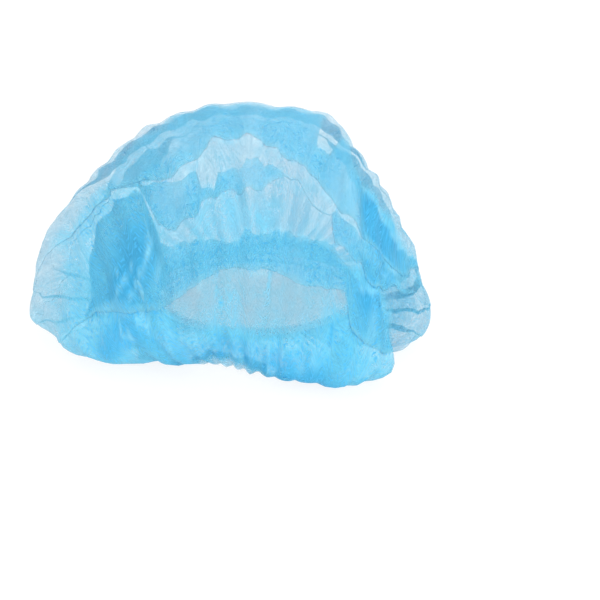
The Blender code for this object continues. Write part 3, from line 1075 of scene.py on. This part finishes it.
@dataclass
class Crown:
    """The pleated, gathered and ballooned cloth, one continuous sheet from hem to hem."""

    form: CrownForm
    gathers: Gathers
    crumple: Crumple
    finish: SpunbondFinish
    cloth_wall: float = 0.00015
    flat_width: float = 0.60
    flat_length: float = 0.55
    columns: int = 300
    measured_rows: int = 401
    open_rows: int = 16
    tucked_rows: int = 5
    ply_gap: float = 0.0003
    billow: float = 0.0022
    pinch: float = 0.013
    least_tuck: float = 0.0005
    least_gap: float = 0.0008
    wide_pleat: float = 0.02
    open_pleat: float = 0.006
    long_column: float = 0.4
    least_loose: float = 0.02
    roomy_column: float = 0.2
    least_room: float = 0.12
    fray_bumps: tuple[float, ...] = (18.0, 62.0, 95.0, 155.0)
    fray_sizes: tuple[float, ...] = (0.0026, 0.0022, 0.0024, 0.0040, 0.0022)
    scallop_middle: float = 0.6
    fold_seed: int = 40
    floor_clearance: float = 0.0006
    free_from: float = 0.05
    ruffle: float = 0.0006
    ruffled: float = 0.02
    end_crowding: float = 0.62
    hem_crowding: float = 0.82
    ridge_crowding: float = 0.40
    patches: Bumps = Bumps(40.0, 0.018)
    patch_plies: float = 0.10
    streaks: Bumps = Bumps(66.0, 0.10)
    streak_plies: float = 0.20
    patch_seed: int = 77
    bunch_flatness: float = 1.5
    most_plies: float = 4.0
    least_plies: float = 0.55
    deep_plies: float = 1.2
    most_depth: float = 3.0
    tightness: float = 0.0032
    lap_edge: float = 0.002
    lap_overhang: float = 0.6
    # A painted highlight along the pleats' folds, which offsets their dark shading: its strength, its share
    # on closed tucks, and its half width.
    fold_highlight_paint: float = 0.45
    closed_fold_highlight_paint: float = 0.6
    fold_half_width: float = 0.0010
    crease_foot: float = 2.0
    crease_line: float = 0.7
    crease_tip: float = 0.4

    def fold_lines(self, columns: Array, length: Array) -> Folds:
        """Where each pleat's two folds are, as distances over the crown.

        Args:
            columns: Places from weld to weld.
            length: The whole way over the crown there.

        Returns:
            The lower and the upper fold of each pleat.
        """
        lines = []
        last = np.zeros_like(columns)
        loose = np.clip(length / self.long_column, self.least_loose, 1)
        for index, pleat in enumerate(PLEATS):
            places, lows, highs = np.array(pleat.folds).T
            low, high = (np.interp(columns, places, shares) * length for shares in (lows, highs))
            opened = soft_step((high - low) / (self.wide_pleat * loose))
            low_stray = pleat.ragged[0] * loose * self.fray(columns, self.fold_seed + 2 * index)
            high_stray = pleat.ragged[1] * loose * self.fray(columns, self.fold_seed + 1 + 2 * index)
            low += low_stray
            high += low_stray + (high_stray - low_stray) * opened
            low = np.maximum(low, last + self.least_gap * loose)
            high = np.maximum(high, low + self.least_tuck * loose)
            lines.append((low, high))
            last = high
        return lines

    def fray(self, columns: Array, seed: int) -> Array:
        """How a fold line strays as the gathers tug at it.

        Args:
            columns: Places from weld to weld.
            seed: Picks the strays.

        Returns:
            The stray in metres.
        """
        slow, quick, jag, ragged = (
            value_noise(columns * bumps, 0 * columns + seed, seed + 100 * index)
            for index, bumps in enumerate(self.fray_bumps)
        )
        scallop = np.abs(np.cos(math.pi * self.gathers.count * columns + 2 * slow)) - self.scallop_middle
        strays = (slow, quick, scallop, np.abs(jag), ragged)
        return sum(size * stray for size, stray in zip(self.fray_sizes, strays))

    def path(self, length: Array, folds: Folds) -> tuple[Array, Array]:
        """The way that the cloth takes over the crown in each column, doubling back at the pleats.

        Args:
            length: The whole way over the crown in each column.
            folds: The lower and the upper fold of each pleat.

        Returns:
            For each column and row, the distance over the crown and the ply's offset from the form.
        """
        zero = np.zeros_like(length)
        pleats = [(low, high, pleat.lap) for (low, high), pleat in zip(folds, PLEATS)]
        arcs, offsets = [], []
        room = np.clip(length / self.roomy_column, self.least_room, 1)
        starts, ends = [(zero, zero, 0.0)] + pleats, pleats + [(length, length, 0.0)]
        for index, (start, end) in enumerate(zip(starts, ends)):
            for share in np.linspace(0, 1, self.open_rows):
                arc = start[0] + (end[1] - start[0]) * share
                turn = soft_step((arc - start[1]) / np.maximum(end[0] - start[1], SMALLEST_LENGTH))
                offset = self.ply_gap * (start[2] * (1 - turn) - end[2] * turn)
                arcs.append(arc)
                offsets.append(offset * room)
            if index < len(pleats):
                for share in np.linspace(0, 1, self.tucked_rows):
                    arcs.append(end[1] + (end[0] - end[1]) * share)
                    offsets.append(zero)
        return np.stack(arcs, axis=1), np.stack(offsets, axis=1)

    def lapped(self, cloth: Cloth) -> Array:
        """Where the cloth lies three plies deep in a pleat.

        Args:
            cloth: The places on the cloth.

        Returns:
            1 within a pleat and 0 outside it.
        """
        lap = np.zeros_like(cloth.arc)
        for low, high in cloth.folds:
            inside = np.minimum(cloth.arc - low, high - cloth.arc)
            inside = np.clip(inside / self.lap_edge + self.lap_overhang, 0, 1)
            lap = np.maximum(lap, inside * np.clip((high - low) / self.open_pleat, 0, 1))
        return lap

    def painted_fold_highlight(self, cloth: Cloth) -> Array:
        """How far a painted highlight lightens the cloth along the sharp folds of the pleats, most along the
        open ones, against the dark shading that these folds take.

        Args:
            cloth: The places on the cloth.

        Returns:
            The painted highlight.
        """
        white = np.zeros_like(cloth.arc)
        for low, high in cloth.folds:
            away = np.minimum(np.abs(cloth.arc - low), np.abs(cloth.arc - high))
            opened = np.clip((high - low) / self.open_pleat, self.closed_fold_highlight_paint, 1)
            white = np.maximum(white, opened * np.exp(-((away / self.fold_half_width) ** 2)))
        return self.fold_highlight_paint * white

    def swell(self, cloth: Cloth) -> Array:
        """How far the cloth billows out between its pleats.

        Args:
            cloth: The places on the cloth.

        Returns:
            The rise in metres.
        """
        rise = np.ones_like(cloth.arc)
        for low, high in cloth.folds:
            away = cloth.arc - (low + high) / 2
            rise *= 1 - soft_step((high - low) / self.wide_pleat) * np.exp(-((away / self.pinch) ** 2))
        return self.billow * rise

    def creases(self, cloth: Cloth) -> tuple[Array, Array, Array]:
        """The named creases.

        Args:
            cloth: The places on the cloth.

        Returns:
            How far they stand off the form, how far they whiten the cloth, and the plies that they add.
        """
        rise, white, nipped = (np.zeros_like(cloth.arc) for _ in range(3))
        wide = self.crumple.cloth_length
        for crease in CREASES:
            x, y = cloth.u * wide - crease.start[0] * wide, cloth.arc - crease.start[1] * cloth.length
            run_x = crease.end[0] * wide - crease.start[0] * wide
            run_y = crease.end[1] * cloth.length - crease.start[1] * cloth.length
            share = np.clip((x * run_x + y * run_y) / (run_x**2 + run_y**2), 0, 1)
            away = np.hypot(x - share * run_x, y - share * run_y) / crease.half_width
            arch = np.sin(math.pi * np.clip(share, 0.02, 0.98))
            taper = self.crease_tip + (1 - self.crease_tip) * arch
            line = np.clip(1 - away / self.crease_line, 0, 1) * taper
            rise += crease.rise * np.clip(1 - away / self.crease_foot, 0, 1) * taper
            white = np.maximum(white, crease.whitening * line)
            nipped += crease.plies * line
        return rise, white, nipped

    def crowding(self, cloth: Cloth, width: Array) -> Array:
        """How many plies the gathers and the narrowing ends press together here.

        Args:
            cloth: The places on the cloth.
            width: The distance from weld to weld on the form there.

        Returns:
            A number of plies.
        """
        ends = np.clip(self.end_crowding * self.flat_width / cloth.length, 1, None)
        hems = np.clip(self.hem_crowding * self.flat_length / width, 1, None)
        ridge = 1 + self.ridge_crowding * (hems - 1) * self.gathers.wave(cloth.u, cloth.arc)
        patch = 1 + self.patch_plies * self.patches.at(cloth.u, cloth.arc, self.patch_seed)
        patch = patch + self.streak_plies * self.streaks.at(cloth.u, cloth.arc, self.patch_seed + 1)
        plies = ends * hems * ridge * patch
        for bunch in BUNCHES:
            along = (cloth.arc / cloth.length - bunch.share) / bunch.share_size
            away = ((cloth.u - bunch.u) / bunch.u_size) ** 2 + along**2
            plies += bunch.plies * np.exp(-(away**self.bunch_flatness) / self.bunch_flatness)
        return np.clip(plies, self.least_plies, self.most_plies)

    def build(self) -> Piece:
        """Make the crown's cloth.

        Returns:
            The finished piece.
        """
        form = self.form
        columns = np.linspace(0, 1, self.columns)
        shares = np.linspace(-1, 1, self.measured_rows)
        u, v = (grid.ravel() for grid in np.meshgrid(columns, shares, indexing="ij"))
        base = form.points(*form.disc(u, v)).reshape(len(columns), len(shares), 3)
        measured = run_along(np.linalg.norm(np.diff(base, axis=1), axis=2))
        widths = np.linalg.norm(np.diff(base, axis=0), axis=2).sum(axis=0)
        length = measured[:, -1]
        folds = self.fold_lines(columns, length)
        arcs, offsets = self.path(length, folds)
        cloth = Cloth(
            *np.broadcast_arrays(columns[:, None], arcs, length[:, None]),
            [(low[:, None], high[:, None]) for low, high in folds],
        )
        v = np.stack([np.interp(arc, row, shares) for arc, row in zip(arcs, measured)])
        across, deep = form.disc(cloth.u.ravel(), v.ravel())
        hem_distance = np.minimum(cloth.arc, cloth.length - cloth.arc)
        mid = self.gathers.fade_at_ends(cloth.u)
        free = soft_step(hem_distance / self.free_from) * mid
        crease_rise, crease_white, nipped = self.creases(cloth)
        rise = offsets + self.gathers.rise(cloth.u, cloth.arc, hem_distance)
        rise += free * (self.swell(cloth) + self.crumple.rise(cloth.u, cloth.arc) + crease_rise)
        rise -= free * self.tightness
        points = form.points(across, deep) + form.normals(across, deep) * rise.ravel()[:, None]
        bearing = np.arctan2(deep, across)
        ruffle = self.ruffle * self.gathers.wave(cloth.u, cloth.arc) * mid
        ruffle = (ruffle * np.clip(1 - hem_distance / self.ruffled, 0, 1)).ravel()
        points[:, 0] += ruffle * np.cos(bearing)
        points[:, 1] += ruffle * np.sin(bearing)
        points[:, 2] = np.maximum(points[:, 2], self.floor_clearance)
        sheet = grid_mesh("crown_cloth", points.reshape(*arcs.shape, 3))
        travelled = run_along(np.abs(np.diff(arcs, axis=1)))
        add_uv(sheet, cloth.u.ravel() * self.flat_length, travelled.ravel())
        plies = self.crowding(cloth, np.interp(v, shares, widths)) + nipped
        plies = np.clip(plies, self.least_plies, self.most_plies)
        add_values(sheet, "plies", plies)
        depth = self.lapped(cloth) + (plies - 1) / self.deep_plies
        add_values(sheet, "depth", np.clip(depth, 0, self.most_depth))
        # Lighter cloth along the named creases, and a painted highlight along the pleats' folds.
        add_values(sheet, "crease", np.maximum(crease_white, self.painted_fold_highlight(cloth)))
        apply_wall(sheet, self.cloth_wall)
        sheet.data.materials.append(self.finish.make())
        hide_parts("crown")
        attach(sheet, "root")
        return sheet


class HemRow(NamedTuple):
    """A line along a hem: how far outside the opening it runs, and its share of the hem's height."""

    out: float
    share: float


HEM_ROWS = rows_of(
    HemRow,
    (0.0006, 1.00), (0.0003, 0.74), (0.0004, 0.46), (0.0008, 0.22), (0.0014, 0.08), (0.00205, 0.05),
    (0.0027, 0.08), (0.0033, 0.22), (0.0037, 0.46), (0.0038, 0.74), (0.0035, 1.00),
)


@dataclass
class Hem:
    """One long edge of the strip, folded over its elastic thread and gathered by it."""

    form: CrownForm
    gathers: Gathers
    finish: SpunbondFinish
    side: Side
    thickness: float = 0.0041
    height: float = 0.0100
    ply: float = 0.0004
    pinch_height: float = 0.0021
    ruffle: float = 0.0017
    lean: Bumps = Bumps(31.0, 1.0)
    lean_reach: float = 0.0008
    lean_rise: float = 0.05
    lean_seed: int = 9
    back_arc: float = 0.5
    flat_length: float = 0.55
    mean_plies: float = 0.75
    wave_plies: float = 0.4
    depth: float = 0.6
    columns: int = 420

    def bearings(self, count: int) -> tuple[Array, Array]:
        """Where places along the hem are.

        Args:
            count: How many there are.

        Returns:
            Their places from weld to weld and their bearings.
        """
        u = np.linspace(0, 1, count)
        across, deep = self.form.disc(u, np.full_like(u, self.side.value))
        return u, np.arctan2(deep, across)

    def build(self) -> Piece:
        """Make the folded edge.

        Returns:
            The finished piece.
        """
        u, bearing = self.bearings(self.columns)
        radius = self.form.ring_radius(bearing)
        mid = self.gathers.fade_at_ends(u)
        arc = 0.0 if self.side is Side.FRONT else self.back_arc
        wave = self.gathers.wave(u, np.full_like(u, arc)) * mid
        lean = self.lean.at(u, 0 * u, self.lean_seed) * mid
        rows = []
        for row in HEM_ROWS:
            free = abs(row.share - self.pinch_height / self.height)
            out = radius + row.out + self.ruffle * free * wave + self.lean_reach * free * lean
            top = self.height * row.share * (1 + self.lean_rise * lean * row.share)
            rows.append(np.stack([out * np.cos(bearing), out * np.sin(bearing), top + 0 * out], axis=1))
        points = np.stack(rows, axis=1)
        if self.side is Side.BACK:
            points = points[::-1]
        sheet = grid_mesh(f"{self.side.name.lower()}_hem_cloth", points)
        steps = run_along(np.hypot(*np.diff(np.array(HEM_ROWS) * [1, self.height], axis=0).T))
        add_uv(sheet, np.repeat(u * self.flat_length, len(rows)), np.tile(steps, self.columns))
        plies = self.mean_plies + self.wave_plies * np.repeat(wave, len(rows))
        add_values(sheet, "plies", plies)
        add_values(sheet, "depth", 0 * plies + self.depth)
        add_values(sheet, "crease", 0 * plies)
        apply_wall(sheet, self.ply)
        sheet.data.materials.append(self.finish.make())
        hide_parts(f"{self.side.name.lower()}_hem")
        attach(sheet, "root")
        return sheet


@dataclass
class Elastic:
    """The covered elastic thread in a hem."""

    hem: Hem
    finish: ElasticFinish
    diameter: float = 0.0015
    clearance: float = 0.0003
    wall: float = 0.0010
    stations: int = 160

    def build(self) -> Piece:
        """Make the thread as a round tube along the hem's fold.

        Returns:
            The finished piece.
        """
        side = self.hem.side
        _, bearing = self.hem.bearings(self.stations)
        radius = self.hem.form.ring_radius(bearing) + self.hem.thickness / 2
        height = np.full_like(radius, self.wall + self.clearance + self.diameter / 2)
        name = f"{side.name.lower()}_elastic_thread"
        curve = bpy.data.curves.new(name, "CURVE")
        curve.dimensions = "3D"
        curve.bevel_depth = self.diameter / 2
        curve.bevel_resolution = 3
        curve.use_fill_caps = True
        spline = curve.splines.new("POLY")
        spline.points.add(self.stations - 1)
        places = [radius * np.cos(bearing), radius * np.sin(bearing), height, np.ones_like(radius)]
        spline.points.foreach_set("co", np.stack(places, axis=1).ravel())
        thread = bpy.data.objects.new(name, curve)
        bpy.context.scene.collection.objects.link(thread)
        only_select(thread)
        bpy.ops.object.convert(target="MESH")
        thread = bpy.context.view_layer.objects.active
        bpy.ops.object.shade_smooth()
        thread.data.materials.clear()
        thread.data.materials.append(self.finish.make())
        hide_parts(f"{side.name.lower()}_elastic")
        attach(thread, "root")
        return thread


@dataclass
class Weld:
    """A welded end: every pleat pressed into one upright ribbed tab."""

    form: CrownForm
    finish: WeldFinish
    end: End
    height: float = 0.0115
    thickness: float = 0.0022
    offset: float = 0.0030
    ribs: int = 12
    rib_rise: float = 0.0004
    rib_inset: float = 0.00035
    end_gap: float = 0.0009
    softening: float = 0.00015
    smooth_below: float = 35.0
    broad_facing: float = 0.8

    def build(self) -> Piece:
        """Spin the tab's cross-section round the end of the opening and press the ribs into it.

        Returns:
            The finished piece.
        """
        form, sign = self.form, self.end.value
        bend = (form.ring_depth / 2) ** 2 / (form.ring_width / 2)
        centre = Vector((sign * (form.ring_width / 2 - bend), 0.0, 0.0))
        radius = bend + self.offset
        half_angle = math.asin((form.weld_width / 2 - self.end_gap) / bend)
        bpy.ops.object.select_all(action="DESELECT")
        place = (centre.x + sign * radius, 0.0, self.height / 2)
        bpy.ops.mesh.primitive_plane_add(size=1.0, location=place, rotation=(math.pi / 2, 0.0, 0.0))
        tab = bpy.context.view_layer.objects.active
        tab.name = f"{self.end.name.lower()}_weld_tab"
        tab.data.name = tab.name
        tab.scale = (self.thickness, self.height, 1.0)
        bpy.ops.object.transform_apply(location=True, rotation=True, scale=True)
        bpy.ops.object.mode_set(mode="EDIT")
        bpy.ops.mesh.select_mode(type="VERT")
        bpy.ops.mesh.select_all(action="SELECT")
        bpy.ops.mesh.spin(steps=2 * self.ribs, angle=2 * half_angle, center=centre, axis=(0.0, 0.0, 1.0))
        bpy.ops.mesh.select_all(action="SELECT")
        bpy.ops.mesh.remove_doubles(threshold=1e-6)
        bpy.ops.mesh.select_all(action="DESELECT")
        bpy.ops.mesh.select_non_manifold()
        bpy.ops.mesh.edge_face_add()
        bpy.ops.mesh.select_all(action="SELECT")
        bpy.ops.mesh.normals_make_consistent(inside=False)
        bpy.ops.object.mode_set(mode="OBJECT")
        self.centre_on_axis(tab, centre)
        self.press_ribs(tab, centre)
        modifier = tab.modifiers.new("Softened edges", "BEVEL")
        modifier.width = self.softening
        modifier.segments = 2
        modifier.limit_method = "ANGLE"
        only_select(tab)
        bpy.ops.object.modifier_apply(modifier=modifier.name)
        bpy.ops.object.shade_smooth_by_angle(angle=math.radians(self.smooth_below))
        tab.data.materials.append(self.finish.make())
        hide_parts(f"{self.end.name.lower()}_weld")
        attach(tab, "root")
        return tab

    def centre_on_axis(self, tab: Piece, centre: Vector) -> None:
        """Turn the spun tab about its centre of bend until it is even front and back.

        Args:
            tab: The tab.
            centre: The centre that it was spun round.
        """
        spokes = [(vertex.co.x - centre.x, vertex.co.y - centre.y) for vertex in tab.data.vertices]
        angles = [math.atan2(y, self.end.value * x) for x, y in spokes]
        turn = -(max(angles) + min(angles)) / 2 * self.end.value
        cos, sin = math.cos(turn), math.sin(turn)
        for vertex, (x, y) in zip(tab.data.vertices, spokes):
            vertex.co.x, vertex.co.y = centre.x + cos * x - sin * y, centre.y + sin * x + cos * y

    def press_ribs(self, tab: Piece, centre: Vector) -> None:
        """Raise every second strip of the tab's two broad faces.

        Args:
            tab: The tab.
            centre: The centre that it was spun round.
        """
        only_select(tab)
        bpy.ops.object.mode_set(mode="EDIT")
        bpy.ops.mesh.select_mode(type="FACE")
        bpy.ops.mesh.select_all(action="DESELECT")
        mesh = bmesh.from_edit_mesh(tab.data)
        broad = []
        for face in mesh.faces:
            middle = face.calc_center_median() - centre
            outward = Vector((middle.x, middle.y, 0.0)).normalized()
            if abs(face.normal.dot(outward)) > self.broad_facing:
                broad.append((math.atan2(middle.y, self.end.value * middle.x), face))
        angles = sorted({round(angle, 4) for angle, _ in broad})
        for angle, face in broad:
            face.select = min(range(len(angles)), key=lambda i: abs(angles[i] - angle)) % 2 == 1
        bmesh.update_edit_mesh(tab.data)
        bpy.ops.mesh.inset(thickness=self.rib_inset, depth=self.rib_rise, use_individual=True)
        bpy.ops.object.mode_set(mode="OBJECT")


# ---------------------------------------------------------------- the studio


@dataclass(frozen=True)
class FloorFinish:
    """A white floor with painted light and shade: round the cap it glows, which clears the cap's cast shadow,
    and under the cap's opening it is greyer and glows less, a painted shadow.
    """

    form: CrownForm
    name: str = "White floor"
    # table is the floor's colour round the cap, where the painted light glows; the greyer colour and weak
    # glow under the opening are a painted shadow.
    table: Colour = (0.20, 0.20, 0.20, 1.0)
    painted_shadow_grey: Colour = (0.62, 0.62, 0.62, 1.0)
    painted_light_glow: float = 0.83
    painted_shadow_glow: float = 0.12
    painted_shadow_edge: float = 0.95
    painted_light_edge: float = 1.20
    roughness: float = 0.9

    def make(self) -> bpy.types.Material:
        """Build the material.

        Returns:
            The material.
        """
        bench = NodeBench(self.name)
        place = bench.add("ShaderNodeMapping")
        place.inputs["Scale"].default_value = (2 / self.form.ring_width, 2 / self.form.ring_depth, 0.0)
        bench.link(bench.add("ShaderNodeTexCoord").outputs["Object"], place.inputs["Vector"])
        away = bench.add("ShaderNodeVectorMath", operation="LENGTH")
        bench.link(place.outputs[0], away.inputs[0])
        # Painted shadow under the opening and painted light round the cap: colour and glow blend between them
        # by the distance from the opening's centre.
        share = bench.spread(away.outputs["Value"], self.painted_shadow_edge, self.painted_light_edge)
        bench.link(bench.blend(share, self.painted_shadow_grey, self.table), bench.shader.inputs["Base Color"])
        glow = bench.spread(share, 0.0, 1.0, self.painted_shadow_glow, self.painted_light_glow)
        bench.link(glow, bench.shader.inputs["Emission Strength"])
        bench.shader.inputs["Emission Color"].default_value = WHITE
        bench.set(Roughness=self.roughness, Specular_IOR_Level=0.0)
        return bench.material


class Light(NamedTuple):
    """A soft square light: where it hangs, the length of its sides and its power in watts."""

    name: str
    place: tuple[float, float, float]
    size: float
    power: float


LIGHTS = rows_of(
    Light,
    ("key", (0.75, -1.10, 0.80), 0.8, 5.5),
    ("fill", (-0.15, -1.50, 0.16), 0.9, 4.5),
    ("top", (0.35, 0.80, 1.3), 1.2, 7.0),
)


@dataclass
class Studio:
    """A white floor, soft even light and the camera."""

    floor_finish: FloorFinish
    floor_size: float = 6.0
    world_light: float = 1.14
    elevation: float = 32.0
    distance: float = 1.0
    lens: float = 80.0
    sensor: float = 36.0
    aim: tuple[float, float, float] = (0.032, 0.0, 0.0)
    lit_point: tuple[float, float, float] = (0.0, 0.0, 0.05)
    clear_bounces: int = 96
    bounces: int = 12

    def add_floor(self) -> None:
        """Lay the floor that the cap stands on."""
        bpy.ops.object.select_all(action="DESELECT")
        bpy.ops.mesh.primitive_plane_add(size=self.floor_size, location=(0.0, 0.0, 0.0))
        floor = bpy.context.view_layer.objects.active
        floor.name = "studio_floor"
        floor.data.materials.append(self.floor_finish.make())

    def add_light(self, light: Light) -> None:
        """Hang a light that points at the cap.

        Args:
            light: The light.
        """
        data = bpy.data.lights.new(light.name, "AREA")
        data.size = light.size
        data.energy = light.power
        lamp = bpy.data.objects.new(light.name, data)
        lamp.location = light.place
        beam = Vector(self.lit_point) - Vector(light.place)
        lamp.rotation_euler = beam.to_track_quat("-Z", "Y").to_euler()
        bpy.context.scene.collection.objects.link(lamp)

    def add_camera(self) -> None:
        """Place the camera where the photograph was taken from."""
        data = bpy.data.cameras.new("camera")
        data.lens = self.lens
        data.sensor_width = self.sensor
        camera = bpy.data.objects.new("camera", data)
        angle = math.radians(self.elevation)
        away = Vector((0.0, -math.cos(angle), math.sin(angle))) * self.distance
        camera.location = Vector(self.aim) + away
        camera.rotation_euler = (-away).to_track_quat("-Z", "Y").to_euler()
        bpy.context.scene.collection.objects.link(camera)
        bpy.context.scene.camera = camera

    def build(self) -> None:
        """Set up the floor, the lights, the surrounding light and the camera."""
        scene = bpy.context.scene
        world = bpy.data.worlds.new("Soft white surroundings")
        world.use_nodes = True
        background = world.node_tree.nodes["Background"]
        background.inputs["Color"].default_value = WHITE
        background.inputs["Strength"].default_value = self.world_light
        scene.world = world
        self.add_floor()
        for light in LIGHTS:
            self.add_light(light)
        self.add_camera()
        scene.view_settings.view_transform = "Standard"
        scene.cycles.transparent_max_bounces = self.clear_bounces
        scene.cycles.max_bounces = self.bounces


def main() -> None:
    """Build the cap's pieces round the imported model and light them."""
    logging.basicConfig(level=logging.INFO, format="%(name)s: %(message)s")
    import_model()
    form = CrownForm()
    gathers = Gathers()
    crown = Crown(form, gathers, Crumple(), SpunbondFinish("Blue spunbond cloth"))
    cloth = crown.build()
    log.info("crown: %d faces", len(cloth.data.polygons))
    hem_finish = SpunbondFinish("Blue spunbond hem")
    for side in Side:
        hem = Hem(form, gathers, hem_finish, side)
        hem.build()
        Elastic(hem, ElasticFinish()).build()
    for end in End:
        Weld(form, WeldFinish(), end).build()
    Studio(FloorFinish(form)).build()


if __name__ == "__main__":
    main()
